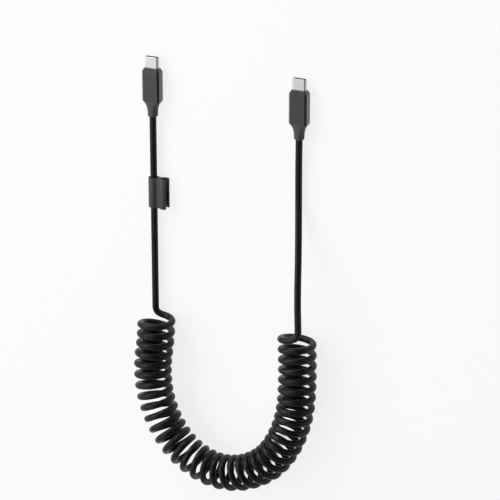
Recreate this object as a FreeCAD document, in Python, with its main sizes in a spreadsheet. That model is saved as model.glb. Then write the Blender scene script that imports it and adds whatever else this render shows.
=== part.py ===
import FreeCAD, Part
import math
import os
import re
import Sketcher

# A coiled charging cable with a reversible plug at each end and a cable clip on its left leg.
# It lies on the floor as a U: +X runs from the left plug to the right one, both plugs point to +Y,
# and +Z is up. The origin is on the floor, midway between the plugs. Lengths are in millimetres.

SIZES = {
    "cord_diameter": (4.0, "jacket of the cord"),
    "coil_diameter": (22.6, "outside of the curly length"),
    "plug_spacing": (92.4, "between the axes of the two plugs"),
    "shell_width": (8.25, "outside of the plug's shell"),
    "shell_height": (2.40, "outside of the plug's shell"),
    "shell_wall": (0.25, "sheet that the shell is drawn from"),
    "shell_reach": (6.65, "shell in front of the sleeve"),
    "shell_tail": (4.0, "shell behind the sleeve's front face"),
    "shell_edge": (0.10, "bevel of the mouth's outer edge"),
    "carrier_fit": (0.02, "gap between carrier and shell"),
    "carrier_recess": (0.30, "carrier behind the mouth"),
    "carrier_tail": (3.2, "carrier behind the sleeve's front face"),
    "tongue_width": (6.9, "slot for the socket's tongue"),
    "tongue_depth": (5.75, "slot for the socket's tongue"),
    "contact_pitch": (0.50, "between neighbouring contacts"),
    "contact_width": (0.25, "strip"),
    "contact_thickness": (0.15, "strip"),
    "contact_tip": (4.8, "front end of the strip, from the sleeve's front face"),
    "contact_nose": (0.5, "length of the turned-up tip"),
    "contact_root": (1.0, "where the spring arm starts, from the sleeve's front face"),
    "contact_dip": (0.06, "how far the arm leans towards the tongue"),
    "contact_lap": (2.6, "solder tail on the circuit board"),
    "latch_span": (7.4, "across both arms"),
    "latch_arm": (0.35, "width of an arm"),
    "latch_bar": (0.60, "width of the bar that joins the arms"),
    "latch_thickness": (0.30, "sheet"),
    "latch_tip": (5.0, "front end of the arms, from the sleeve's front face"),
    "latch_tail": (2.8, "back of the bar, behind the sleeve's front face"),
    "hook_depth": (0.25, "hook, towards the tongue"),
    "hook_length": (1.0, "hook, along the arm"),
    "ground_width": (5.5, "ground spring"),
    "ground_length": (1.0, "ground spring"),
    "ground_thickness": (0.10, "ground spring"),
    "ground_inset": (0.15, "ground spring behind the carrier's front"),
    "board_width": (6.6, "circuit board"),
    "board_length": (8.0, "circuit board"),
    "board_thickness": (0.80, "circuit board"),
    "board_gap": (0.20, "between carrier and circuit board"),
    "wire_diameter": (0.65, "insulated conductor"),
    "wire_pitch": (0.75, "between neighbouring conductors"),
    "wire_lap": (1.6, "conductor on the circuit board"),
    "wire_free": (2.6, "conductor between circuit board and jacket"),
    "sleeve_width": (11.0, "outside of the sleeve"),
    "sleeve_thickness": (6.5, "outside of the sleeve"),
    "sleeve_length": (19.5, "outside of the sleeve"),
    "sleeve_wall": (0.80, "wall of the sleeve"),
    "sleeve_bevel": (1.05, "bevel of its four long edges"),
    "front_wall": (2.2, "closed front of the sleeve"),
    "front_bevel_length": (1.9, "bevel round the front, along the sleeve"),
    "front_bevel_inset": (1.2, "bevel round the front, across the sleeve"),
    "shell_fit": (0.05, "gap between shell and sleeve"),
    "mould_fit": (0.05, "gap between what is inside the sleeve and its wall"),
    "relief_length": (9.4, "strain relief behind the sleeve"),
    "relief_neck": (5.9, "thin end of the strain relief, across"),
    "relief_spigot": (2.5, "strain relief inside the sleeve"),
    "relief_edge": (0.4, "bevel of the thin end"),
    "clip_length": (18.0, "clip along the cord"),
    "clip_place": (-64.4, "middle of the clip, along Y"),
    "clip_wall": (1.1, "wall of ring and channel"),
    "clip_clearance": (0.10, "between ring and cord"),
    "channel_diameter": (4.0, "channel for another cord"),
    "channel_offset": (6.9, "from the ring's axis to the channel's"),
    "jaw_opening": (90.0, "angle of the channel's mouth, in degrees"),
    "web_thickness": (4.2, "web between ring and channel"),
    "web_fillet": (0.8, "rounding beside the web"),
    "jaw_fillet": (0.3, "rounding of the jaws' lips"),
}

UPPER_HALF_ROW = 6
LOWER_HALF_ROW = 5
LOWER_FIRST = 1.5
UPPER_FIRST = 0.5
WIRES = 5

# How the strain relief tapers: share of its length, and share of the flare that is left there.
RELIEF_TAPER = [(0.0, 1.0), (0.2, 0.5), (0.45, 0.14)]

# The coil's axis seen from above, between its two ends.
COIL_BEND = [(-45.2, -173), (-42.5, -195), (-31.5, -216), (-15.5, -228), (1.5, -231.7),
             (19, -227.3), (35.5, -215), (47.5, -189.5)]
COIL_LEFT_END = -137
COIL_LEFT_LEAD = -150
COIL_RIGHT_END = -133
COIL_RIGHT_LEAD = -160
COIL_RIGHT_X = 49.2

# The right leg leaves the top of the coil this many degrees towards the outside of the U.
RIGHT_LEG_ANGLE = 32.0
# Y of the two points between which the right leg climbs from the plug's axis to the coil's top.
RIGHT_LEG_FOOT = -30.5
RIGHT_LEG_HEAD = -108

# An arc of a cord's route takes up this share of the shorter run beside it.
ARC_SHARE = 0.45
# The curly length is a tube of this many flat sides, with one of them on the floor.
COIL_SIDES = 12
VOLUME_TOLERANCE = 0.002
# An edge lies in a plane, or along an axis, within this much.
NEAR = 1e-6

doc = FreeCAD.newDocument("CoiledCable")
sheet = doc.addObject("Spreadsheet::Sheet", "Sizes")
SIZE_NAME = re.compile(r"\b(" + "|".join(SIZES) + r")\b")


def fill_sheet():
    for row, (alias, (value, meaning)) in enumerate(SIZES.items(), start=1):
        sheet.set(f"A{row}", alias)
        sheet.set(f"B{row}", str(value))
        sheet.set(f"C{row}", meaning)
        sheet.setAlias(f"B{row}", alias)
    doc.recompute()


def size(alias):
    return float(sheet.get(alias))


def bind(thing, prop, formula):
    """Ties a property to a formula of the sheet's sizes."""
    thing.setExpression(prop, SIZE_NAME.sub(r"Sizes.\1", formula))


def place(thing, x, y, z):
    bind(thing, "Placement.Base.x", x)
    bind(thing, "Placement.Base.y", y)
    bind(thing, "Placement.Base.z", z)


class Plug:
    """Where a plug's frame is: its origin is on the plug's axis, in the sleeve's front face."""

    along = "(sleeve_length + relief_length - shell_reach) / 2"
    height = "sleeve_thickness / 2"

    def __init__(self, side, across):
        self.side = side
        self.across = across

    def label(self, piece):
        return f"{self.side}_{piece}"

    def body(self, piece):
        body = doc.addObject("PartDesign::Body", self.label(piece))
        body.Label = self.label(piece)
        body.AllowCompound = True
        place(body, self.across, self.along, self.height)
        return body

    def seat(self, thing, x="0", y="0", z="0"):
        place(thing, f"{self.across} + ({x})", f"{self.along} + ({y})", f"{self.height} + ({z})")


LEFT = Plug("left", "-plug_spacing / 2")
RIGHT = Plug("right", "plug_spacing / 2")

# Formulas that several pieces share, in a plug's frame.
SLOT_ROOF = "(board_thickness / 2 + contact_thickness)"
CARRIER_FRONT = "(shell_reach - carrier_recess)"
BOARD_FRONT = "(-carrier_tail - board_gap)"
BOARD_BACK = "(-carrier_tail - board_gap - board_length)"
JACKET_END = "(-carrier_tail - board_gap - board_length - wire_free)"
MOULD_BACK = "(relief_spigot - sleeve_length)"
BORE_WIDTH = "(sleeve_width - 2 * sleeve_wall)"
BORE_THICKNESS = "(sleeve_thickness - 2 * sleeve_wall)"
BORE_BEVEL = "(sleeve_bevel - sleeve_wall * (2 - sqrt(2)))"
CLIP_RADIUS = "(cord_diameter / 2 + clip_clearance + clip_wall)"


def sketch_on(body, role, offset):
    """A sketch on one of the body's own planes, moved along that plane's normal."""
    sketch = body.newObject("Sketcher::SketchObject", body.Label + "_sketch")
    plane = next(f for f in body.Origin.OriginFeatures if f.Role == role)
    sketch.AttachmentSupport = [(plane, "")]
    sketch.MapMode = "FlatFace"
    bind(sketch, "AttachmentOffset.Base.z", offset)
    return sketch


def section(body, at):
    """A sketch across the plug's or cord's axis, at this Y. It is X wide and Z high."""
    return sketch_on(body, "XZ_Plane", f"-({at})")


def fix(sketch, kind, where, formula):
    """Adds a dimension and ties it to a formula. The solver starts from a dimension of 1."""
    index = sketch.addConstraint(Sketcher.Constraint(kind, *where, 1.0))
    bind(sketch, f"Constraints[{index}]", formula)


def polygon(sketch, corners):
    """A closed outline of straight lines, each corner given by two formulas."""
    count = len(corners)
    first = sketch.GeometryCount
    ring = [FreeCAD.Vector(math.cos(2 * math.pi * i / count), math.sin(2 * math.pi * i / count), 0)
            for i in range(count)]
    for i in range(count):
        sketch.addGeometry(Part.LineSegment(ring[i], ring[(i + 1) % count]), False)
    for i in range(count):
        following = first + (i + 1) % count
        sketch.addConstraint(Sketcher.Constraint("Coincident", first + i, 2, following, 1))
    for i, (x, y) in enumerate(corners):
        fix(sketch, "DistanceX", (-1, 1, first + i, 1), x)
        fix(sketch, "DistanceY", (-1, 1, first + i, 1), y)
    return sketch


def rectangle(sketch, width, height):
    x, y = f"({width}) / 2", f"({height}) / 2"
    return polygon(sketch, [(x, y), (f"-{x}", y), (f"-{x}", f"-{y}"), (x, f"-{y}")])


def bevelled(sketch, width, height, bevel):
    """A rectangle with its four corners cut off at 45 degrees."""
    x, y = f"({width}) / 2", f"({height}) / 2"
    inner_x, inner_y = f"({x} - {bevel})", f"({y} - {bevel})"
    return polygon(sketch, [(x, inner_y), (inner_x, y), (f"-{inner_x}", y), (f"-({x})", inner_y),
                            (f"-({x})", f"-{inner_y}"), (f"-{inner_x}", f"-({y})"),
                            (inner_x, f"-({y})"), (x, f"-{inner_y}")])


def arc(x, y, start, stop):
    circle = Part.Circle(FreeCAD.Vector(x, y, 0), FreeCAD.Vector(0, 0, 1), 1)
    return Part.ArcOfCircle(circle, math.radians(start), math.radians(stop))


def line(x0, y0, x1, y1):
    return Part.LineSegment(FreeCAD.Vector(x0, y0, 0), FreeCAD.Vector(x1, y1, 0))


def slot(sketch, width, height, level="0"):
    """An outline of two straight sides and two half circles, with its middle at this level."""
    for edge in (line(-1, 1, 1, 1), arc(1, 0, -90, 90), line(1, -1, -1, -1), arc(-1, 0, 90, 270)):
        sketch.addGeometry(edge, False)
    for joint in ((0, 2, 1, 2), (1, 1, 2, 1), (2, 2, 3, 2), (3, 1, 0, 1)):
        sketch.addConstraint(Sketcher.Constraint("Tangent", *joint))
    sketch.addConstraint(Sketcher.Constraint("Horizontal", 0))
    sketch.addConstraint(Sketcher.Constraint("Equal", 1, 3))
    fix(sketch, "DistanceX", (-1, 1, 1, 3), f"(({width}) - ({height})) / 2")
    fix(sketch, "DistanceX", (3, 3, 1, 3), f"({width}) - ({height})")
    fix(sketch, "DistanceY", (-1, 1, 1, 3), level)
    fix(sketch, "Radius", (1,), f"({height}) / 2")
    return sketch


def disc(sketch, radius, x="0", y="0"):
    circle = sketch.addGeometry(Part.Circle(FreeCAD.Vector(), FreeCAD.Vector(0, 0, 1), 1), False)
    fix(sketch, "DistanceX", (-1, 1, circle, 3), x)
    fix(sketch, "DistanceY", (-1, 1, circle, 3), y)
    fix(sketch, "Radius", (circle,), radius)
    return sketch


def pad(body, sketch, length, both_ways=False):
    """Fills the sketch, backwards from it along -Y where it is a section."""
    feature = body.newObject("PartDesign::Pad", body.Label + "_pad")
    feature.Profile = sketch
    if both_ways:
        feature.SideType = "Symmetric"
    bind(feature, "Length", length)
    doc.recompute()
    return feature


def pocket(body, sketch, length):
    """Cuts the sketch out, backwards from it along -Y, and makes sure that it cut something."""
    before = body.Shape.Volume
    feature = body.newObject("PartDesign::Pocket", body.Label + "_pocket")
    feature.Profile = sketch
    feature.Reversed = True
    bind(feature, "Length", length)
    doc.recompute()
    if feature.Shape.Volume >= before:
        raise RuntimeError(f"{feature.Label} cuts nothing")
    return feature


def groove(body, sketch):
    """Turns the sketch round the Y axis and cuts it out."""
    feature = body.newObject("PartDesign::Groove", body.Label + "_groove")
    feature.Profile = sketch
    feature.ReferenceAxis = (sketch, ["V_Axis"])
    feature.Angle = 360
    doc.recompute()
    return feature


def edges_where(feature, chosen):
    """Names of those edges of a feature that the given test picks out by their middle points."""
    names = [f"Edge{i}" for i, edge in enumerate(feature.Shape.Edges, start=1)
             if chosen(edge, edge.valueAt((edge.FirstParameter + edge.LastParameter) / 2))]
    if not names:
        raise RuntimeError(f"{feature.Label} has no such edge")
    return feature, names


def round_edges(body, edges, radius):
    feature = body.newObject("PartDesign::Fillet", body.Label + "_fillet")
    feature.Base = edges
    bind(feature, "Radius", radius)
    doc.recompute()
    return feature


def bevel_edges(body, edges, across, along):
    """A bevel that takes one width from the end face and another from the sides."""
    feature = body.newObject("PartDesign::Chamfer", body.Label + "_chamfer")
    feature.Base = edges
    feature.ChamferType = "Two distances"
    feature.FlipDirection = True
    bind(feature, "Size", across)
    bind(feature, "Size2", along)
    doc.recompute()
    return feature


def cut(label, base, tools):
    """What is left of the base around pieces that it is moulded to."""
    for tool in tools:
        piece = doc.addObject("Part::Cut", label + "_cut")
        piece.Base = base
        piece.Tool = tool
        doc.recompute()
        base = piece
    piece.Label = label
    return piece


def group(label, members):
    """Several like solids in one node."""
    piece = doc.addObject("Part::Compound", label)
    piece.Label = label
    piece.Links = members
    doc.recompute()
    return piece


def plug_shell(plug):
    """The drawn steel tube that goes into the socket."""
    body = plug.body("plug_shell")
    length = "shell_reach + shell_tail"
    tube = pad(body, slot(section(body, "shell_reach"), "shell_width", "shell_height"), length)
    reach = size("shell_reach")
    mouth = edges_where(tube, lambda edge, middle: abs(middle.y - reach) < NEAR)
    bevel_edges(body, mouth, "shell_edge", "shell_edge")
    wall = "2 * shell_wall"
    inside = slot(section(body, "shell_reach"), f"shell_width - {wall}", f"shell_height - {wall}")
    pocket(body, inside, length)
    return body


def contact_row(plug, piece, above, first, half_row):
    """Spring strips side by side: a tail on the board, a root in the carrier and an arm in the slot."""
    body = plug.body(piece)
    sketch = sketch_on(body, "YZ_Plane", f"contact_pitch * {first}")
    near, far = "board_thickness / 2", SLOT_ROOF
    outline = [("contact_root", near), ("contact_tip - contact_nose", f"{near} - contact_dip"),
               ("contact_tip", near), ("contact_tip", far),
               ("contact_tip - contact_nose", f"{far} - contact_dip"), ("contact_root", far),
               (f"{BOARD_FRONT} - contact_lap", far), (f"{BOARD_FRONT} - contact_lap", near)]
    polygon(sketch, [(y, z if above else f"-({z})") for y, z in outline])
    strip = pad(body, sketch, "contact_width", both_ways=True)
    row = body.newObject("PartDesign::LinearPattern", body.Label + "_row")
    row.Originals = [strip]
    row.Direction = (sketch, ["N_Axis"])
    row.Occurrences = half_row
    bind(row, "Length", f"contact_pitch * {half_row - 1}")
    body.Tip = row
    doc.recompute()
    both = body.newObject("PartDesign::Mirrored", body.Label + "_both")
    both.TransformMode = "Whole shape"
    both.MirrorPlane = (next(f for f in body.Origin.OriginFeatures if f.Role == "YZ_Plane"), [""])
    body.Tip = both
    doc.recompute()
    return body


def latch_spring(plug):
    """A flat U of spring steel with a hook near each tip."""
    body = plug.body("latch_spring")
    outside, inside = "latch_span / 2", "(latch_span / 2 - latch_arm)"
    right = [(outside, "-latch_tail"), (outside, "latch_tip"), (inside, "latch_tip"),
             (f"{inside} - hook_depth", "latch_tip - hook_length / 2"),
             (inside, "latch_tip - hook_length"), (inside, "latch_bar - latch_tail")]
    left = [(f"-({x})", y) for x, y in reversed(right)]
    pad(body, polygon(sketch_on(body, "XY_Plane", "0"), right + left), "latch_thickness", both_ways=True)
    return body


def ground_springs(plug):
    """Two thin plates in the roof and the floor of the slot, at its mouth."""
    plates = []
    for name, level in (("upper", f"{SLOT_ROOF} - ground_thickness"), ("lower", f"-{SLOT_ROOF}")):
        plate = doc.addObject("Part::Box", plug.label(f"{name}_ground_plate"))
        bind(plate, "Length", "ground_width")
        bind(plate, "Width", "ground_length")
        bind(plate, "Height", "ground_thickness")
        plug.seat(plate, "-ground_width / 2", f"{CARRIER_FRONT} - ground_inset - ground_length", level)
        plates.append(plate)
    return group(plug.label("ground_springs"), plates)


def contact_carrier(plug, held):
    """The insulator in the shell, with the slot for the socket's tongue, moulded round its metal."""
    body = plug.body("carrier_blank")
    gap = "2 * (shell_wall + carrier_fit)"
    outline = slot(section(body, CARRIER_FRONT), f"shell_width - {gap}", f"shell_height - {gap}")
    pad(body, outline, f"{CARRIER_FRONT} + carrier_tail")
    mouth = rectangle(section(body, CARRIER_FRONT), "tongue_width", f"2 * {SLOT_ROOF}")
    pocket(body, mouth, "tongue_depth")
    return cut(plug.label("contact_carrier"), body, held)


def circuit_board(plug):
    board = doc.addObject("Part::Box", plug.label("circuit_board"))
    bind(board, "Length", "board_width")
    bind(board, "Width", "board_length")
    bind(board, "Height", "board_thickness")
    plug.seat(board, "-board_width / 2", BOARD_BACK, "-board_thickness / 2")
    return board


def wire_ends(plug):
    """The conductors side by side, from the jacket's end onto the circuit board."""
    wires = []
    for i in range(WIRES):
        wire = doc.addObject("Part::Cylinder", plug.label(f"wire_{i + 1}"))
        bind(wire, "Radius", "wire_diameter / 2")
        bind(wire, "Height", "wire_free + wire_lap")
        wire.Placement.Rotation = FreeCAD.Rotation(FreeCAD.Vector(1, 0, 0), -90)
        level = "board_thickness / 2 + wire_diameter / 2"
        plug.seat(wire, f"wire_pitch * {i - (WIRES - 1) / 2}", JACKET_END, level)
        wires.append(wire)
    return group(plug.label("wire_ends"), wires)


def sleeve(plug):
    """The metal housing: bevelled all round, closed at the front but for the shell's opening."""
    body = plug.body("sleeve")
    outline = bevelled(section(body, "0"), "sleeve_width", "sleeve_thickness", "sleeve_bevel")
    bar = pad(body, outline, "sleeve_length")
    front = edges_where(bar, lambda edge, middle: abs(middle.y) < NEAR)
    bevel_edges(body, front, "front_bevel_inset", "front_bevel_length")
    bore = bevelled(section(body, "-front_wall"), BORE_WIDTH, BORE_THICKNESS, BORE_BEVEL)
    pocket(body, bore, "sleeve_length - front_wall")
    opening = slot(section(body, "0"), "shell_width + 2 * shell_fit", "shell_height + 2 * shell_fit")
    pocket(body, opening, "front_wall")
    return body


def inner_mould(plug):
    """The plastic that fills the sleeve behind its front wall, round everything that ends in it."""
    body = plug.body("inner_mould")
    fit = "2 * mould_fit"
    width, height = f"{BORE_WIDTH} - {fit}", f"{BORE_THICKNESS} - {fit}"
    block = bevelled(section(body, "-front_wall"), width, height, BORE_BEVEL)
    pad(body, block, f"-front_wall - {MOULD_BACK}")
    shell = slot(section(body, "-front_wall"), "shell_width", "shell_height")
    pocket(body, shell, "shell_tail - front_wall")
    board = rectangle(section(body, "-shell_tail"), "board_width", "board_thickness")
    pocket(body, board, f"-shell_tail - {BOARD_BACK}")
    row = f"contact_pitch * {2 * (UPPER_FIRST + UPPER_HALF_ROW - 1)} + contact_width"
    tails = rectangle(section(body, "-shell_tail"), row, f"2 * {SLOT_ROOF}")
    pocket(body, tails, f"-shell_tail - {BOARD_FRONT} + contact_lap")
    wires = slot(section(body, f"{BOARD_BACK} + wire_lap"), f"wire_pitch * {WIRES - 1} + wire_diameter",
                 "wire_diameter", "board_thickness / 2 + wire_diameter / 2")
    pocket(body, wires, "wire_free + wire_lap")
    jacket = disc(section(body, JACKET_END), "cord_diameter / 2")
    pocket(body, jacket, f"{JACKET_END} - {MOULD_BACK}")
    return body


def strain_relief(plug):
    """An elastomer taper, turned from the sleeve's outline down to a round neck, with a spigot."""
    body = plug.body("strain_relief")
    fit = "2 * mould_fit"
    width, height = f"{BORE_WIDTH} - {fit}", f"{BORE_THICKNESS} - {fit}"
    pad(body, bevelled(section(body, MOULD_BACK), width, height, BORE_BEVEL), "relief_spigot")
    start, end = "-sleeve_length", "-sleeve_length - relief_length"
    outline = bevelled(section(body, start), "sleeve_width", "sleeve_thickness", "sleeve_bevel")
    pad(body, outline, "relief_length")
    neck = "relief_neck / 2"
    flare = f"(sqrt(sleeve_width^2 / 4 + (sleeve_thickness / 2 - sleeve_bevel)^2) - {neck})"
    taper = [(f"{neck} + {flare} * {left}", f"{start} - relief_length * {along}")
             for along, left in RELIEF_TAPER]
    rim = [(neck, f"{end} + relief_edge"), (f"{neck} - relief_edge", end)]
    around = [("sleeve_width", end), ("sleeve_width", start)]
    groove(body, polygon(sketch_on(body, "XY_Plane", "0"), taper + rim + around))
    bore = disc(section(body, MOULD_BACK), "cord_diameter / 2")
    pocket(body, bore, "relief_spigot + relief_length")
    return body


def along_y(edge):
    return abs(edge.tangentAt(edge.FirstParameter).y) > 1 - NEAR


def cable_clip():
    """A ring that slides on the left leg, and beside it an open channel that takes another cord."""
    body = doc.addObject("PartDesign::Body", "cable_clip")
    body.Label = "cable_clip"
    place(body, LEFT.across, "clip_place", LEFT.height)
    top = "clip_length / 2"
    pad(body, disc(section(body, top), CLIP_RADIUS), "clip_length")
    channel = disc(section(body, top), "(channel_diameter / 2 + clip_wall)", "channel_offset")
    pad(body, channel, "clip_length")
    edge_z = "web_thickness / 2"
    web = [("channel_offset", edge_z), ("0", edge_z), ("0", f"-{edge_z}"),
           ("channel_offset", f"-{edge_z}")]
    joined = pad(body, polygon(section(body, top), web), "clip_length")
    half_web, offset = size("web_thickness") / 2, size("channel_offset")
    beside_web = edges_where(joined, lambda edge, middle: along_y(edge) and 0 < middle.x < offset
                             and abs(abs(middle.z) - half_web) < NEAR)
    round_edges(body, beside_web, "web_fillet")
    pocket(body, disc(section(body, top), "cord_diameter / 2 + clip_clearance"), "clip_length")
    pocket(body, disc(section(body, top), "channel_diameter / 2", "channel_offset"), "clip_length")
    reach = "(channel_diameter + clip_wall)"
    spread = f"{reach} * tan(jaw_opening / 2)"
    wedge = [("channel_offset", "0"), (f"channel_offset + {reach}", spread),
             (f"channel_offset + {reach}", f"-{spread}")]
    open_jaws = pocket(body, polygon(section(body, top), wedge), "clip_length")
    lips = edges_where(open_jaws, lambda edge, middle: along_y(edge) and middle.x > offset)
    round_edges(body, lips, "jaw_fillet")
    return body


def route(points):
    """A wire of straight runs and the largest tangent arcs that they leave room for, and its radii."""
    edges, radii = [], []
    start = points[0]
    for before, corner, after in zip(points, points[1:], points[2:]):
        back, ahead = before - corner, after - corner
        half_turn = (math.pi - back.getAngle(ahead)) / 2
        reach = ARC_SHARE * min(back.Length, ahead.Length)
        radius = reach / math.tan(half_turn)
        enter = corner + back.normalize() * reach
        leave = corner + ahead.normalize() * reach
        towards_centre = (back + ahead).normalize()
        middle = corner + towards_centre * (radius / math.cos(half_turn) - radius)
        edges.append(Part.LineSegment(start, enter).toShape())
        edges.append(Part.Arc(enter, middle, leave).toShape())
        radii.append(round(radius))
        start = leave
    edges.append(Part.LineSegment(start, points[-1]).toShape())
    return Part.Wire(edges), radii


def tube(label, points, profile):
    """A plain tube along a cord's route, from the wire of its section at the start."""
    path, radii = route(points)
    solid = path.makePipeShell([profile], True, True)
    expected = Part.Face(profile).Area * path.Length
    if abs(solid.Volume / expected - 1) > VOLUME_TOLERANCE:
        raise RuntimeError(f"{label} has {solid.Volume:.0f} mm3 instead of {expected:.0f}")
    print(f"{label}: length {path.Length:.1f} mm, radii {radii} mm")
    piece = doc.addObject("Part::Feature", label)
    piece.Label = label
    piece.Shape = solid
    piece.Placement = FreeCAD.Placement()
    return piece


def many_sided(centre, across_flats, sides):
    """A regular outline across the Y axis, with a flat side at the bottom."""
    corner = across_flats / 2 / math.cos(math.pi / sides)
    angles = [(2 * i + 1) * math.pi / sides for i in range(sides)]
    ring = [centre + FreeCAD.Vector(corner * math.sin(a), 0, corner * math.cos(a)) for a in angles]
    return Part.makePolygon(ring + ring[:1])


def plug_point(plug_side, y):
    """A point on the axis of the left (-1) or right (1) plug."""
    return FreeCAD.Vector(plug_side * size("plug_spacing") / 2, y, size("sleeve_thickness") / 2)


def jacket_end():
    """Y of the cord's end inside a plug."""
    front = (size("sleeve_length") + size("relief_length") - size("shell_reach")) / 2
    inside = ("carrier_tail", "board_gap", "board_length", "wire_free")
    return front - sum(size(alias) for alias in inside)


def left_cord():
    """The straight leg, from the left plug to the coil's end face."""
    cord = doc.addObject("Part::Cylinder", "left_cord")
    bind(cord, "Radius", "cord_diameter / 2")
    bind(cord, "Height", f"{LEFT.along} + {JACKET_END} - ({COIL_LEFT_END})")
    cord.Placement.Rotation = FreeCAD.Rotation(FreeCAD.Vector(1, 0, 0), -90)
    place(cord, LEFT.across, str(COIL_LEFT_END), LEFT.height)
    return cord


def coil():
    """The curly length as one fat tube, beside the left leg, which runs into its rim."""
    axis_z = size("coil_diameter") / 2
    winding = (size("coil_diameter") - size("cord_diameter")) / 2
    leg = plug_point(-1, COIL_LEFT_END)
    left_x = leg.x + math.sqrt(winding ** 2 - (axis_z - leg.z) ** 2)
    seen_from_above = [(left_x, COIL_LEFT_END), (left_x, COIL_LEFT_LEAD), *COIL_BEND,
                       (COIL_RIGHT_X, COIL_RIGHT_LEAD), (COIL_RIGHT_X, COIL_RIGHT_END)]
    points = [FreeCAD.Vector(x, y, axis_z) for x, y in seen_from_above]
    return tube("coil", points, many_sided(points[0], size("coil_diameter"), COIL_SIDES))


def right_cord():
    """The leg that comes down from the top of the coil to the right plug."""
    winding = (size("coil_diameter") - size("cord_diameter")) / 2
    angle = math.radians(RIGHT_LEG_ANGLE)
    top = FreeCAD.Vector(COIL_RIGHT_X + winding * math.sin(angle), COIL_RIGHT_END,
                         size("coil_diameter") / 2 + winding * math.cos(angle))
    foot, head = plug_point(1, RIGHT_LEG_FOOT), FreeCAD.Vector(top.x, RIGHT_LEG_HEAD, top.z)
    points = [plug_point(1, jacket_end()), foot, head, top]
    circle = Part.Circle(points[0], points[1] - points[0], size("cord_diameter") / 2)
    return tube("right_cord", points, Part.Wire(circle.toShape()))


def plug_pieces(plug):
    shell = plug_shell(plug)
    upper = contact_row(plug, "upper_contacts", True, UPPER_FIRST, UPPER_HALF_ROW)
    lower = contact_row(plug, "lower_contacts", False, LOWER_FIRST, LOWER_HALF_ROW)
    latch = latch_spring(plug)
    carrier = contact_carrier(plug, [upper, lower, latch])
    ground = ground_springs(plug)
    board = circuit_board(plug)
    wires = wire_ends(plug)
    housing = sleeve(plug)
    mould = inner_mould(plug)
    relief = strain_relief(plug)
    return [shell, upper, lower, latch, carrier, ground, board, wires, housing, mould, relief]


def check(pieces):
    """Stops before anything is written if a feature failed or a piece has no sound shape."""
    failed = [thing.Label for thing in doc.Objects
              if "Invalid" in thing.State or "Error" in thing.State]
    unsound = [piece.Label for piece in pieces if piece.Shape.isNull() or not piece.Shape.isValid()]
    if failed or unsound:
        raise RuntimeError(f"failed features {failed}, unsound shapes {unsound}")


def main():
    fill_sheet()
    pieces = [left_cord(), coil(), right_cord(), cable_clip()]
    pieces += plug_pieces(LEFT) + plug_pieces(RIGHT)
    doc.recompute()
    check(pieces)
    os.makedirs("parts", exist_ok=True)
    for piece in pieces:
        piece.Shape.exportStep(f"parts/{piece.Label}.step")


main()
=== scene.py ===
import bmesh
import bpy
import math
from bisect import bisect_right
from bpy.props import FloatProperty, FloatVectorProperty, IntProperty, PointerProperty
from mathutils import Matrix, Vector
from mathutils.geometry import interpolate_bezier


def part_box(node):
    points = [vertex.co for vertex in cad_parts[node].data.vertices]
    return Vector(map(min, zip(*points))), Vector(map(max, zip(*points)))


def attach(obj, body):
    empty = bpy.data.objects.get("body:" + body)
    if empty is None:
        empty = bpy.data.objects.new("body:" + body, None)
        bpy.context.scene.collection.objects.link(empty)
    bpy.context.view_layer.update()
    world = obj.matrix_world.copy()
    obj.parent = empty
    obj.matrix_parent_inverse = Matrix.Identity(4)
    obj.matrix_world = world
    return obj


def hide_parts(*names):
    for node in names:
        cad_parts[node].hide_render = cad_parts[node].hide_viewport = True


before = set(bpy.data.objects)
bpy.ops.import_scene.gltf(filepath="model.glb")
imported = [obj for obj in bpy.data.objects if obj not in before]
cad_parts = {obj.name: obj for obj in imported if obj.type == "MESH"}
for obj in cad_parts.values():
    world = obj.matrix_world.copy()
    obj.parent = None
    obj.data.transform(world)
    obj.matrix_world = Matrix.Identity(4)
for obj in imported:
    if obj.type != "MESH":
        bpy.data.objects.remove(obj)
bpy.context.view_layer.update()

bl_info = {
    "name": "Coiled charging cable",
    "version": (1, 0, 0),
    "blender": (4, 5, 0),
    "location": "3D View > Sidebar > Cable",
    "description": "Winds the curly cord, shapes the strain reliefs, finishes the plugs and clip",
    "category": "Object",
}

SIDES = ("left", "right")

# The cord's route, in metres. Both legs end inside their plugs, and the coil's axis lies level.
PLUG_X = 0.0462
PLUG_AXIS_HEIGHT = 0.00325
JACKET_END_Y = -0.002875
RELIEF_END_Y = -0.017775
LEFT_CORNER = (-PLUG_X, -0.1405, PLUG_AXIS_HEIGHT)
COIL_AXIS_HEIGHT = 0.0113
COIL_AXIS = [(-0.0416, -0.138), (-0.0416, -0.150), (-0.0452, -0.173), (-0.0425, -0.1955),
             (-0.0315, -0.217), (-0.0155, -0.2292), (0.0015, -0.233), (0.019, -0.2288),
             (0.036, -0.216), (0.0482, -0.190), (0.0504, -0.160), (0.0492, -0.133)]
RIGHT_CORNER = (0.0545, -0.132, 0.0208)
# The right leg droops from the top of the coil and comes to lie on the floor before its plug.
RIGHT_LEG = [(0.0527, -0.1084, 0.0183), (0.0495, -0.084, 0.0103), (0.0457, -0.0596, 0.0022),
             (0.0458, -0.0366, 0.0027), (PLUG_X, -0.020, PLUG_AXIS_HEIGHT)]

# Points of a mesh that are nearer than this are one point.
SAME_POINT = 1e-6

# How a sharp edge is rounded, and how far two faces turn where they meet in one.
EDGE_STEPS = 3
EDGE_ANGLE = math.radians(25)

# The noise textures lie around this value.
NOISE_MIDDLE = 0.5

# A surface is all edge where rounding it would turn it by an angle of this cosine.
EDGE_COSINE = 0.94

# The camera: where it looks, the way back to it, and the picture's up, as the photograph was taken.
CAMERA_TARGET = Vector((0.0141, -0.0916, 0))
CAMERA_BACK = Vector((0.4006, 0.3746, 0.8362))
CAMERA_UP = Vector((-0.16186, 0.92718, -0.33783))

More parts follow.
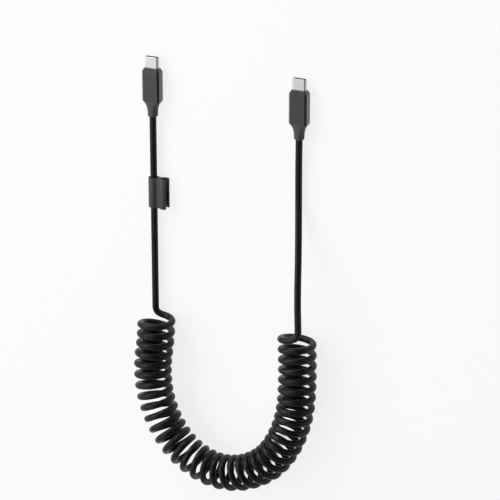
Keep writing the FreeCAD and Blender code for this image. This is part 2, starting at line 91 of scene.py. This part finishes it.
# The surroundings are brightest this way, overhead and to the left of the coil, and they fade to
# the horizon's brightness between these cosines of the angle from it.
DOME_AXIS = Vector((-0.40, -0.37, 0.84))
DOME_BRIGHT_COSINE = 0.97
DOME_FADED_COSINE = 0.6


class CordSettings(bpy.types.PropertyGroup):
    diameter: FloatProperty(
        name="Diameter", description="Outside of the jacket",
        default=0.004, precision=4, unit="LENGTH")
    winding_radius: FloatProperty(
        name="Winding radius", description="From the coil's axis to the cord's middle",
        default=0.0093, precision=4, unit="LENGTH")
    first_angle: FloatProperty(
        name="First angle", description="Where the winding starts, up from the outside of the U",
        default=math.radians(-105), subtype="ANGLE")
    last_angle: FloatProperty(
        name="Last angle", description="Where the winding ends, up from the outside of the U",
        default=math.radians(110), subtype="ANGLE")
    turns: IntProperty(
        name="Turns", description="Turns that are begun, the last of them cut short", default=37)
    points_per_turn: IntProperty(
        name="Points per turn", description="Control points in each turn", default=14)
    end_gap: FloatProperty(
        name="End gap", description="Axis left bare at each end of the coil",
        default=0.0028, precision=4, unit="LENGTH")
    lean: FloatProperty(
        name="Lean", description="How far the tops of the turns lie towards the plugs",
        default=0.0013, precision=4, unit="LENGTH")
    jacket: FloatVectorProperty(
        name="Jacket", description="Colour of the jacket",
        default=(0.0050, 0.0050, 0.0052), subtype="COLOR")
    roughness: FloatProperty(
        name="Roughness", description="Roughness of the jacket", default=0.36, subtype="FACTOR")


class PlugSettings(bpy.types.PropertyGroup):
    housing: FloatVectorProperty(
        name="Housing", description="Colour of the anodised sleeves",
        default=(0.018, 0.018, 0.0184), subtype="COLOR")
    housing_edge: FloatProperty(
        name="Housing edge", description="Rounding of the sleeves' edges",
        default=0.00022, precision=5, unit="LENGTH")
    shell: FloatVectorProperty(
        name="Shell", description="Colour of the steel shells",
        default=(0.54, 0.54, 0.55), subtype="COLOR")
    contact: FloatVectorProperty(
        name="Contacts", description="Colour of the plated contacts",
        default=(0.83, 0.60, 0.24), subtype="COLOR")
    carrier: FloatVectorProperty(
        name="Carrier", description="Colour of the contacts' carriers",
        default=(0.008, 0.008, 0.0085), subtype="COLOR")
    board: FloatVectorProperty(
        name="Board", description="Colour of the circuit boards",
        default=(0.015, 0.09, 0.04), subtype="COLOR")
    insulation: FloatVectorProperty(
        name="Insulation", description="Colour of the wires inside the plugs",
        default=(0.32, 0.04, 0.035), subtype="COLOR")
    mould: FloatVectorProperty(
        name="Inner mould", description="Colour of the plastic inside the sleeves",
        default=(0.03, 0.03, 0.03), subtype="COLOR")
    relief: FloatVectorProperty(
        name="Strain relief", description="Colour of the elastomer",
        default=(0.075, 0.075, 0.076), subtype="COLOR")
    neck: FloatProperty(
        name="Neck", description="Across the thin end of a strain relief",
        default=0.0059, precision=4, unit="LENGTH")


class ClipSettings(bpy.types.PropertyGroup):
    plastic: FloatVectorProperty(
        name="Plastic", description="Colour of the clip",
        default=(0.046, 0.046, 0.047), subtype="COLOR")
    edge: FloatProperty(
        name="Edge", description="Rounding of the clip's end edges",
        default=0.00015, precision=5, unit="LENGTH")


class StageSettings(bpy.types.PropertyGroup):
    floor: FloatVectorProperty(
        name="Floor", description="Colour of the floor",
        default=(0.90, 0.90, 0.90), subtype="COLOR")
    floor_white: FloatProperty(
        name="Floor white", description="Share of plain white in the floor as it is seen",
        default=0.82, subtype="FACTOR")
    key_power: FloatProperty(
        name="Key light", description="Power of the softbox beyond the plugs",
        default=10.5, unit="POWER")
    fill_power: FloatProperty(
        name="Fill light", description="Power of the softbox on the left",
        default=8.0, unit="POWER")
    sky: FloatProperty(
        name="Sky", description="Brightness of the surroundings overhead", default=1.0)
    horizon: FloatProperty(
        name="Horizon", description="Brightness of the surroundings low down", default=0.16)
    camera_distance: FloatProperty(
        name="Camera distance", description="From what the camera looks at",
        default=1.5, unit="LENGTH")
    lens: FloatProperty(
        name="Lens", description="Focal length, in millimetres", default=187.2, unit="CAMERA")


class CableSettings(bpy.types.PropertyGroup):
    cord: PointerProperty(
        name="Cord", description="The curly cord and its winding", type=CordSettings)
    plug: PointerProperty(
        name="Plugs", description="The two plugs and their strain reliefs", type=PlugSettings)
    clip: PointerProperty(
        name="Clip", description="The clip on the left leg", type=ClipSettings)
    stage: PointerProperty(
        name="Stage", description="The floor, the light and the camera", type=StageSettings)


def new_object(name, data):
    piece = bpy.data.objects.new(name, data)
    bpy.context.scene.collection.objects.link(piece)
    return piece


def paint(piece, material):
    """Gives the piece this one material, in its own slot or in a new one."""
    if not piece.material_slots:
        piece.data.materials.append(material)
    for slot in piece.material_slots:
        slot.material = material


# Effects that several finishes share, each a node group.

def node_group(name, inputs, outputs):
    group = bpy.data.node_groups.new(name, "ShaderNodeTree")
    for label, default in inputs.items():
        socket = group.interface.new_socket(label, in_out="INPUT", socket_type="NodeSocketFloat")
        socket.default_value = default
    for label in outputs:
        group.interface.new_socket(label, in_out="OUTPUT", socket_type="NodeSocketFloat")
    return group, group.nodes.new("NodeGroupInput"), group.nodes.new("NodeGroupOutput")


def noise(tree, detail):
    """A noise texture in the object's own space."""
    place = tree.nodes.new("ShaderNodeTexCoord")
    texture = tree.nodes.new("ShaderNodeTexNoise")
    texture.inputs["Detail"].default_value = detail
    tree.links.new(place.outputs["Object"], texture.inputs["Vector"])
    return texture


def grain_group():
    """The fine texture of a moulded or blasted surface."""
    group, start, end = node_group("Fine grain", {"Scale": 8000.0}, ["Height"])
    fine = noise(group, detail=3.0)
    group.links.new(start.outputs["Scale"], fine.inputs["Scale"])
    group.links.new(fine.outputs["Fac"], end.inputs["Height"])
    return group


def handling_group():
    """Where fingers and cloths have left a surface a little duller or shinier."""
    group, start, end = node_group("Handling", {"Scale": 220.0, "Contrast": 2.0}, ["Mask"])
    broad = noise(group, detail=4.0)
    group.links.new(start.outputs["Scale"], broad.inputs["Scale"])
    centred = group.nodes.new("ShaderNodeMath")
    centred.operation = "SUBTRACT"
    centred.inputs[1].default_value = NOISE_MIDDLE
    group.links.new(broad.outputs["Fac"], centred.inputs[0])
    stretched = group.nodes.new("ShaderNodeMath")
    stretched.operation = "MULTIPLY_ADD"
    stretched.use_clamp = True
    stretched.inputs[2].default_value = NOISE_MIDDLE
    group.links.new(centred.outputs[0], stretched.inputs[0])
    group.links.new(start.outputs["Contrast"], stretched.inputs[1])
    group.links.new(stretched.outputs[0], end.inputs["Mask"])
    return group


def edge_group():
    """How near a surface is to one of its edges."""
    group, start, end = node_group("Edge", {"Width": 0.0003}, ["Mask"])
    rounded = group.nodes.new("ShaderNodeBevel")
    group.links.new(start.outputs["Width"], rounded.inputs["Radius"])
    surface = group.nodes.new("ShaderNodeNewGeometry")
    facing = group.nodes.new("ShaderNodeVectorMath")
    facing.operation = "DOT_PRODUCT"
    group.links.new(rounded.outputs["Normal"], facing.inputs[0])
    group.links.new(surface.outputs["Normal"], facing.inputs[1])
    turned = group.nodes.new("ShaderNodeMapRange")
    turned.inputs["From Min"].default_value = 1.0
    turned.inputs["From Max"].default_value = EDGE_COSINE
    group.links.new(facing.outputs["Value"], turned.inputs["Value"])
    group.links.new(turned.outputs["Result"], end.inputs["Mask"])
    return group


EFFECTS = {}


def effect(tree, group, **values):
    """Places a shared effect in a material, with its own values. Its group is built once."""
    if group not in EFFECTS:
        EFFECTS[group] = group()
    node = tree.nodes.new("ShaderNodeGroup")
    node.node_tree = EFFECTS[group]
    for label, value in values.items():
        node.inputs[label].default_value = value
    return node.outputs[0]


# Finishes, and what they are put together from.

def new_material(name, **constants):
    """A material, its nodes and its shader, with constants set on the shader's own sockets."""
    material = bpy.data.materials.new(name)
    material.use_nodes = True
    shader = material.node_tree.nodes["Principled BSDF"]
    for label, value in constants.items():
        shader.inputs[label.replace("_", " ")].default_value = value
    return material, material.node_tree, shader


def tint(tree, shader, mask, plain, marked):
    """Base colour that goes from the plain colour to the marked one, by a mask."""
    mix = tree.nodes.new("ShaderNodeMix")
    mix.data_type = "RGBA"
    mix.inputs["A"].default_value = (*plain, 1)
    mix.inputs["B"].default_value = (*marked, 1)
    tree.links.new(mask, mix.inputs["Factor"])
    tree.links.new(mix.outputs["Result"], shader.inputs["Base Color"])


def roughen(tree, shader, mask, low, high):
    """Roughness between two values, by a mask."""
    spread = tree.nodes.new("ShaderNodeMapRange")
    spread.inputs["To Min"].default_value = low
    spread.inputs["To Max"].default_value = high
    tree.links.new(mask, spread.inputs["Value"])
    tree.links.new(spread.outputs["Result"], shader.inputs["Roughness"])


def emboss(tree, shader, height, depth, strength):
    """A bump of this depth, in metres."""
    bump = tree.nodes.new("ShaderNodeBump")
    bump.inputs["Strength"].default_value = strength
    bump.inputs["Distance"].default_value = depth
    tree.links.new(height, bump.inputs["Height"])
    tree.links.new(bump.outputs["Normal"], shader.inputs["Normal"])


def scaled(colour, factor):
    return tuple(min(1.0, channel * factor) for channel in colour)


def jacket_material(settings):
    """Satin elastomer, a little cloudy, with a fine orange-peel."""
    material, tree, shader = new_material("cord_jacket", Specular_IOR_Level=0.2)
    clouds = effect(tree, handling_group, Scale=160.0, Contrast=2.4)
    tint(tree, shader, clouds, scaled(settings.jacket, 0.8), scaled(settings.jacket, 1.25))
    roughen(tree, shader, clouds, low=settings.roughness - 0.05, high=settings.roughness + 0.06)
    grain = effect(tree, grain_group, Scale=3200.0)
    emboss(tree, shader, grain, depth=0.00002, strength=0.5)
    return material


def housing_material(settings):
    """Blasted aluminium, anodised dark grey and sealed, worn a little lighter along its edges."""
    material, tree, shader = new_material(
        "sleeve_metal", Metallic=1.0, Coat_Weight=1.0, Coat_Roughness=0.3)
    edge = effect(tree, edge_group, Width=0.0003)
    tint(tree, shader, edge, settings.housing, scaled(settings.housing, 1.35))
    marks = effect(tree, handling_group, Scale=260.0, Contrast=2.0)
    roughen(tree, shader, marks, low=0.38, high=0.48)
    grain = effect(tree, grain_group, Scale=9000.0)
    emboss(tree, shader, grain, depth=0.00002, strength=0.35)
    return material


def shell_material(settings):
    """Drawn stainless steel with a satin polish and faint handling marks; painted shade darkens it
    along its edges.
    """
    material, tree, shader = new_material(
        "shell_steel", Metallic=1.0, Specular_Tint=(0.3, 0.3, 0.3, 1))
    # Painted shade: the steel goes down to a quarter of its colour near every edge, where the mouth
    # and the rounded sides look dark.
    rim = effect(tree, edge_group, Width=0.0002)
    tint(tree, shader, rim, settings.shell, scaled(settings.shell, 0.25))
    marks = effect(tree, handling_group, Scale=500.0, Contrast=2.6)
    roughen(tree, shader, marks, low=0.28, high=0.38)
    grain = effect(tree, grain_group, Scale=6000.0)
    emboss(tree, shader, grain, depth=0.00001, strength=0.2)
    return material


def spring_material(settings):
    """Bare spring steel, duller than the shell."""
    material, tree, shader = new_material("spring_steel", Metallic=1.0)
    marks = effect(tree, handling_group, Scale=900.0, Contrast=2.0)
    tint(tree, shader, marks, scaled(settings.shell, 0.65), scaled(settings.shell, 0.8))
    roughen(tree, shader, marks, low=0.28, high=0.4)
    return material


def contact_material(settings):
    """Plated contact strips."""
    material, tree, shader = new_material("contact_metal", Metallic=1.0)
    marks = effect(tree, handling_group, Scale=1500.0, Contrast=2.0)
    tint(tree, shader, marks, scaled(settings.contact, 0.85), settings.contact)
    roughen(tree, shader, marks, low=0.18, high=0.3)
    return material


def relief_material(settings):
    """Matte elastomer with a fine spark-eroded skin."""
    material, tree, shader = new_material("relief_rubber", Specular_IOR_Level=0.25)
    clouds = effect(tree, handling_group, Scale=300.0, Contrast=2.0)
    tint(tree, shader, clouds, scaled(settings.relief, 0.9), scaled(settings.relief, 1.12))
    roughen(tree, shader, clouds, low=0.52, high=0.62)
    grain = effect(tree, grain_group, Scale=7000.0)
    emboss(tree, shader, grain, depth=0.00003, strength=0.45)
    return material


def clip_material(settings):
    """Matte moulded plastic, with a painted highlight that makes it a shade lighter along its
    edges.
    """
    material, tree, shader = new_material("clip_plastic", Specular_IOR_Level=0.35)
    # Painted highlight: the plastic is lightened near its edges, where they catch the light.
    edge = effect(tree, edge_group, Width=0.00025)
    tint(tree, shader, edge, settings.plastic, scaled(settings.plastic, 1.3))
    marks = effect(tree, handling_group, Scale=240.0, Contrast=2.0)
    roughen(tree, shader, marks, low=0.46, high=0.56)
    grain = effect(tree, grain_group, Scale=6000.0)
    emboss(tree, shader, grain, depth=0.00003, strength=0.4)
    return material


def plain_plastic(name, colour, roughness):
    """Moulded plastic that is out of sight or deep in the mouth of a plug."""
    material, tree, shader = new_material(name)
    clouds = effect(tree, handling_group, Scale=700.0, Contrast=2.0)
    tint(tree, shader, clouds, scaled(colour, 0.85), scaled(colour, 1.15))
    roughen(tree, shader, clouds, low=roughness - 0.06, high=roughness + 0.06)
    return material


# The cord.

def smooth_spline(name, points, steps):
    """A curve of one NURBS spline with these control points."""
    curve = bpy.data.curves.new(name, "CURVE")
    curve.dimensions = "3D"
    curve.resolution_u = steps
    spline = curve.splines.new("NURBS")
    spline.points.add(len(points) - 1)
    for point, place in zip(spline.points, points):
        point.co = (*place, 1)
    spline.order_u = 3
    spline.use_endpoint_u = True
    return curve


def points_along(curve):
    """Points along a curve, as Blender draws it."""
    holder = bpy.data.objects.new(curve.name, curve)
    mesh = bpy.data.meshes.new_from_object(holder)
    points = [vertex.co.copy() for vertex in mesh.vertices]
    bpy.data.objects.remove(holder)
    bpy.data.meshes.remove(mesh)
    bpy.data.curves.remove(curve)
    return points


class CoilAxis:
    """The line that the cord is wound around."""

    STEPS = 64

    def __init__(self):
        route = [(x, y, COIL_AXIS_HEIGHT) for x, y in COIL_AXIS]
        self.points = points_along(smooth_spline("coil_axis", route, self.STEPS))
        self.reach = [0.0]
        for here, ahead in zip(self.points, self.points[1:]):
            self.reach.append(self.reach[-1] + (ahead - here).length)
        self.length = self.reach[-1]

    def at(self, distance):
        """The place this far along, and the way out of the U there."""
        index = min(max(bisect_right(self.reach, distance), 1), len(self.points) - 1)
        here, ahead = self.points[index - 1], self.points[index]
        share = (distance - self.reach[index - 1]) / (self.reach[index] - self.reach[index - 1])
        along = (ahead - here).normalized()
        return here.lerp(ahead, share), Vector((along.y, -along.x, 0))


def winding(settings):
    """The coil's control points. A smooth spline runs inside them by the cosine of half a step."""
    axis = CoilAxis()
    step = 2 * math.pi / settings.points_per_turn
    radius = settings.winding_radius / math.cos(step / 2)
    upward = Vector((0, settings.lean, radius))
    last_angle = settings.last_angle - 2 * math.pi * settings.turns
    count = round((settings.first_angle - last_angle) / step)
    points = []
    for i in range(count + 1):
        share = i / count
        angle = settings.first_angle + (last_angle - settings.first_angle) * share
        middle, outward = axis.at(settings.end_gap + (axis.length - 2 * settings.end_gap) * share)
        points.append(middle + math.cos(angle) * radius * outward + math.sin(angle) * upward)
    return points


def towards(corner, target, distance):
    """The point this far from a corner, on the way to a target."""
    return corner + (target - corner).normalized() * distance


def cord_points(settings):
    """The whole cord, from the left plug through the coil to the right plug."""
    turns = winding(settings)
    left_end, right_end = (Vector((x, JACKET_END_Y, PLUG_AXIS_HEIGHT)) for x in (-PLUG_X, PLUG_X))
    left_corner, right_corner = Vector(LEFT_CORNER), Vector(RIGHT_CORNER)
    right_leg = [Vector(place) for place in RIGHT_LEG]
    # Each leg has a point as far from its corner as the winding starts on the other side.
    left_foot = towards(left_corner, left_end, (turns[0] - left_corner).length)
    right_foot = towards(right_corner, right_leg[0], (turns[-1] - right_corner).length)
    return [left_end, left_foot, left_corner, *turns,
            right_corner, right_foot, *right_leg, right_end]


class CABLE_OT_cord(bpy.types.Operator):
    """Winds the curly cord between the two plugs"""

    bl_idname = "cable.cord"
    bl_label = "Wind the cord"

    STEPS = 4
    ROUND_STEPS = 6

    def execute(self, context):
        settings = context.scene.cable.cord
        curve = smooth_spline("curly_cord", cord_points(settings), self.STEPS)
        curve.bevel_depth = settings.diameter / 2
        curve.bevel_resolution = self.ROUND_STEPS
        curve.use_fill_caps = True
        cord = new_object("curly_cord", curve)
        paint(cord, jacket_material(settings))
        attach(cord, "cable")
        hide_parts("left_cord", "coil", "right_cord")
        return {"FINISHED"}


# The plugs and the clip.

def rounded_outline(half_width, half_height, corner, per_corner):
    """A rounded rectangle round the plug's axis, as points of X and Z."""
    points = []
    for quarter, (side_x, side_z) in enumerate(((1, 1), (-1, 1), (-1, -1), (1, -1))):
        for i in range(per_corner):
            angle = (quarter + i / (per_corner - 1)) * math.pi / 2
            points.append((side_x * (half_width - corner) + corner * math.cos(angle),
                           side_z * (half_height - corner) + corner * math.sin(angle)))
    return points


class CABLE_OT_strain_reliefs(bpy.types.Operator):
    """Shapes the elastomer tapers between the housings and the cord"""

    bl_idname = "cable.strain_reliefs"
    bl_label = "Shape the strain reliefs"

    PER_CORNER = 14
    TAPER_STEPS = 28
    SEAM = 0.00005
    START_CORNER = 0.0016
    END_ROUNDING = 0.0004
    ROUNDING_STEPS = 5
    # How the taper leaves the housing and comes into the neck, along it and across it.
    LEAVE = (0.0024, 0.00355)
    ARRIVE = (0.0036, 0.00305)

    def profile(self, sleeve_low, sleeve_high, neck_radius):
        """Half widths along the taper, with the rounded end."""
        length = sleeve_low.y - RELIEF_END_Y - self.END_ROUNDING
        half_width = (sleeve_high.x - sleeve_low.x) / 2 - self.SEAM
        handles = [Vector((*pair, 0)) for pair in (self.LEAVE, self.ARRIVE)]
        line = interpolate_bezier(Vector((0, half_width, 0)), *handles,
                                  Vector((length, neck_radius, 0)), self.TAPER_STEPS)
        stations = [(point.x, point.y) for point in line]
        for i in range(1, self.ROUNDING_STEPS + 1):
            angle = math.pi / 2 * i / self.ROUNDING_STEPS
            stations.append((length + self.END_ROUNDING * math.sin(angle),
                             neck_radius - self.END_ROUNDING * (1 - math.cos(angle))))
        return stations

    def shape(self, side, neck_radius):
        """The taper's mesh, from the housing's outline to the round neck."""
        low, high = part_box(f"{side}_sleeve")
        middle = (low + high) / 2
        start_height = (high.z - low.z) / 2 - self.SEAM
        stations = self.profile(low, high, neck_radius)
        widest = stations[0][1]
        mesh = bmesh.new()
        rings = []
        for along, half_width in stations:
            flare = max(0.0, (half_width - neck_radius) / (widest - neck_radius))
            half_height = min(half_width, neck_radius + (start_height - neck_radius) * flare)
            corner = half_height * (1 - flare) + self.START_CORNER * flare
            outline = rounded_outline(half_width, half_height, corner, self.PER_CORNER)
            rings.append([mesh.verts.new((middle.x + x, low.y - along, middle.z + z))
                          for x, z in outline])
        for ring, following in zip(rings, rings[1:]):
            for i in range(len(ring)):
                j = (i + 1) % len(ring)
                mesh.faces.new((ring[i], following[i], following[j], ring[j]))
        mesh.faces.new(rings[0])
        mesh.faces.new(reversed(rings[-1]))
        bmesh.ops.recalc_face_normals(mesh, faces=mesh.faces)
        bmesh.ops.remove_doubles(mesh, verts=mesh.verts, dist=SAME_POINT)
        # The two end faces have more than four corners and stay flat.
        for face in mesh.faces:
            face.smooth = len(face.verts) <= 4
        made = bpy.data.meshes.new(f"{side}_relief")
        mesh.to_mesh(made)
        mesh.free()
        return made

    def execute(self, context):
        settings = context.scene.cable.plug
        rubber = relief_material(settings)
        for side in SIDES:
            relief = new_object(f"{side}_relief", self.shape(side, settings.neck / 2))
            paint(relief, rubber)
            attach(relief, "cable")
            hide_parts(f"{side}_strain_relief")
        return {"FINISHED"}


def soften_edges(piece, width):
    """Rounds the sharp edges of a piece, which the solid has as plain corners."""
    weld = piece.modifiers.new("joined faces", "WELD")
    weld.merge_threshold = SAME_POINT
    bevel = piece.modifiers.new("soft edges", "BEVEL")
    bevel.width = width
    bevel.segments = EDGE_STEPS
    bevel.limit_method = "ANGLE"
    bevel.angle_limit = EDGE_ANGLE
    bevel.harden_normals = True


def paint_plugs(finishes):
    """Gives each of these pieces its finish, in both plugs."""
    for side in SIDES:
        for piece, finish in finishes.items():
            paint(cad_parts[f"{side}_{piece}"], finish)


class CABLE_OT_housings(bpy.types.Operator):
    """Finishes the anodised sleeves of the plugs"""

    bl_idname = "cable.housings"
    bl_label = "Finish the housings"

    def execute(self, context):
        settings = context.scene.cable.plug
        paint_plugs({"sleeve": housing_material(settings)})
        for side in SIDES:
            soften_edges(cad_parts[f"{side}_sleeve"], settings.housing_edge)
        return {"FINISHED"}


class CABLE_OT_plug_metal(bpy.types.Operator):
    """Finishes the shells, springs and contacts of the plugs"""

    bl_idname = "cable.plug_metal"
    bl_label = "Finish the plugs' metal"

    def execute(self, context):
        settings = context.scene.cable.plug
        plated = contact_material(settings)
        sprung = spring_material(settings)
        paint_plugs({
            "plug_shell": shell_material(settings),
            "upper_contacts": plated,
            "lower_contacts": plated,
            "latch_spring": sprung,
            "ground_springs": sprung,
        })
        return {"FINISHED"}


class CABLE_OT_plug_insides(bpy.types.Operator):
    """Finishes the carriers, boards, wires and moulds inside the plugs"""

    bl_idname = "cable.plug_insides"
    bl_label = "Finish the plugs' insides"

    def execute(self, context):
        settings = context.scene.cable.plug
        paint_plugs({
            "contact_carrier": plain_plastic("carrier_plastic", settings.carrier, roughness=0.5),
            "circuit_board": plain_plastic("board_laminate", settings.board, roughness=0.4),
            "wire_ends": plain_plastic("wire_insulation", settings.insulation, roughness=0.45),
            "inner_mould": plain_plastic("mould_plastic", settings.mould, roughness=0.55),
        })
        return {"FINISHED"}


class CABLE_OT_clip(bpy.types.Operator):
    """Finishes the clip that slides on the left leg"""

    bl_idname = "cable.clip"
    bl_label = "Finish the clip"

    def execute(self, context):
        settings = context.scene.cable.clip
        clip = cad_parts["cable_clip"]
        paint(clip, clip_material(settings))
        soften_edges(clip, settings.edge)
        return {"FINISHED"}


# The stage.

def pale_floor_material(settings):
    """A matte floor that looks pale to the camera and in reflections, and keeps the shadow."""
    material, tree, shader = new_material("floor", Roughness=0.9, Specular_IOR_Level=0.1)
    shader.inputs["Base Color"].default_value = (*settings.floor, 1)
    path = tree.nodes.new("ShaderNodeLightPath")
    seen = path.outputs["Is Camera Ray"]
    for ray in ("Is Glossy Ray", "Is Transmission Ray"):
        either = tree.nodes.new("ShaderNodeMath")
        either.operation = "MAXIMUM"
        tree.links.new(seen, either.inputs[0])
        tree.links.new(path.outputs[ray], either.inputs[1])
        seen = either.outputs[0]
    share = tree.nodes.new("ShaderNodeMath")
    share.operation = "MULTIPLY"
    share.inputs[1].default_value = settings.floor_white
    tree.links.new(seen, share.inputs[0])
    glow = tree.nodes.new("ShaderNodeEmission")
    mix = tree.nodes.new("ShaderNodeMixShader")
    tree.links.new(share.outputs[0], mix.inputs["Fac"])
    tree.links.new(shader.outputs[0], mix.inputs[1])
    tree.links.new(glow.outputs[0], mix.inputs[2])
    tree.links.new(mix.outputs[0], tree.nodes["Material Output"].inputs["Surface"])
    return material


def studio_world(settings):
    """Surroundings that are brighter on one side overhead."""
    world = bpy.data.worlds.new("studio")
    world.use_nodes = True
    tree = world.node_tree
    place = tree.nodes.new("ShaderNodeTexCoord")
    facing = tree.nodes.new("ShaderNodeVectorMath")
    facing.operation = "DOT_PRODUCT"
    facing.inputs[1].default_value = DOME_AXIS.normalized()
    tree.links.new(place.outputs["Generated"], facing.inputs[0])
    dome = tree.nodes.new("ShaderNodeMapRange")
    dome.interpolation_type = "SMOOTHSTEP"
    dome.inputs["From Min"].default_value = DOME_FADED_COSINE
    dome.inputs["From Max"].default_value = DOME_BRIGHT_COSINE
    dome.inputs["To Min"].default_value = settings.horizon
    dome.inputs["To Max"].default_value = settings.sky
    tree.links.new(facing.outputs["Value"], dome.inputs["Value"])
    background = tree.nodes["Background"]
    background.inputs["Color"].default_value = (1, 1, 1, 1)
    tree.links.new(dome.outputs["Result"], background.inputs["Strength"])
    return world


def softbox(name, place, size, power):
    """A rectangular light that faces what the camera looks at."""
    light = bpy.data.lights.new(name, "AREA")
    light.shape = "RECTANGLE"
    light.size, light.size_y = size
    light.energy = power
    lamp = new_object(name, light)
    lamp.location = place
    lamp.rotation_euler = (CAMERA_TARGET - Vector(place)).to_track_quat("-Z", "Y").to_euler()


class CABLE_OT_stage(bpy.types.Operator):
    """Lays the floor, sets the lights and stands the camera where the photograph was taken"""

    bl_idname = "cable.stage"
    bl_label = "Set the stage"

    FLOOR_RADIUS = 3.0
    FLOOR_DROP = 0.00005
    FLOOR_SIDES = 96
    COVE_RADIUS = 0.5
    COVE_STEPS = 8
    WALL_TOP = 0.9
    KEY_PLACE = (-0.593, 1.029, 0.4455)
    KEY_SIZE = (0.9, 0.5)
    FILL_PLACE = (-0.961, 0.103, 0.832)
    FILL_SIZE = (0.9, 0.9)
    # The nearest that the camera sees.
    NEAR_LIMIT = 0.01

    def lay_floor(self, settings):
        """A round floor whose rim curves up into a low wall."""
        profile = [(0, 0)]
        for i in range(self.COVE_STEPS + 1):
            angle = math.pi / 2 * i / self.COVE_STEPS
            profile.append((self.FLOOR_RADIUS + self.COVE_RADIUS * math.sin(angle),
                            self.COVE_RADIUS * (1 - math.cos(angle))))
        profile.append((self.FLOOR_RADIUS + self.COVE_RADIUS, self.WALL_TOP))
        mesh = bpy.data.meshes.new("floor")
        mesh.from_pydata([(along, 0, height - self.FLOOR_DROP) for along, height in profile],
                         [(i, i + 1) for i in range(len(profile) - 1)], [])
        floor = new_object("floor", mesh)
        turn = floor.modifiers.new("round", "SCREW")
        turn.steps = turn.render_steps = self.FLOOR_SIDES
        turn.use_merge_vertices = True
        paint(floor, pale_floor_material(settings))

    def stand_camera(self, settings):
        """A camera that sees the cable as the photograph does."""
        data = bpy.data.cameras.new("camera")
        data.lens = settings.lens
        data.clip_start = self.NEAR_LIMIT
        camera = new_object("camera", data)
        back = CAMERA_BACK.normalized()
        right = CAMERA_UP.cross(back).normalized()
        turn = Matrix((right, back.cross(right), back)).transposed()
        place = CAMERA_TARGET + back * settings.camera_distance
        camera.matrix_world = Matrix.Translation(place) @ turn.to_4x4()
        return camera

    def execute(self, context):
        settings = context.scene.cable.stage
        self.lay_floor(settings)
        softbox("key", self.KEY_PLACE, self.KEY_SIZE, settings.key_power)
        softbox("fill", self.FILL_PLACE, self.FILL_SIZE, settings.fill_power)
        context.scene.world = studio_world(settings)
        context.scene.view_settings.view_transform = "Standard"
        context.scene.camera = self.stand_camera(settings)
        return {"FINISHED"}


class CABLE_PT_panel(bpy.types.Panel):
    """Lists the cable's sizes and colours, and its steps"""

    bl_idname = "CABLE_PT_panel"
    bl_label = "Coiled cable"
    bl_space_type = "VIEW_3D"
    bl_region_type = "UI"
    bl_category = "Cable"

    def draw(self, context):
        for part in ("cord", "plug", "clip", "stage"):
            settings = getattr(context.scene.cable, part)
            box = self.layout.box()
            for name in settings.__annotations__:
                box.prop(settings, name)
        for step in STEPS:
            self.layout.operator(step.bl_idname)


STEPS = (CABLE_OT_stage, CABLE_OT_cord, CABLE_OT_strain_reliefs, CABLE_OT_housings,
         CABLE_OT_plug_metal, CABLE_OT_plug_insides, CABLE_OT_clip)
CLASSES = (CordSettings, PlugSettings, ClipSettings, StageSettings, CableSettings, *STEPS,
           CABLE_PT_panel)


def register():
    for each in CLASSES:
        bpy.utils.register_class(each)
    bpy.types.Scene.cable = PointerProperty(
        name="Cable", description="Sizes and colours of the coiled cable", type=CableSettings)


def unregister():
    del bpy.types.Scene.cable
    for each in reversed(CLASSES):
        bpy.utils.unregister_class(each)


def main():
    register()
    bpy.ops.cable.stage()
    bpy.ops.cable.cord()
    bpy.ops.cable.strain_reliefs()
    bpy.ops.cable.housings()
    bpy.ops.cable.plug_metal()
    bpy.ops.cable.plug_insides()
    bpy.ops.cable.clip()


if __name__ == "__main__":
    main()
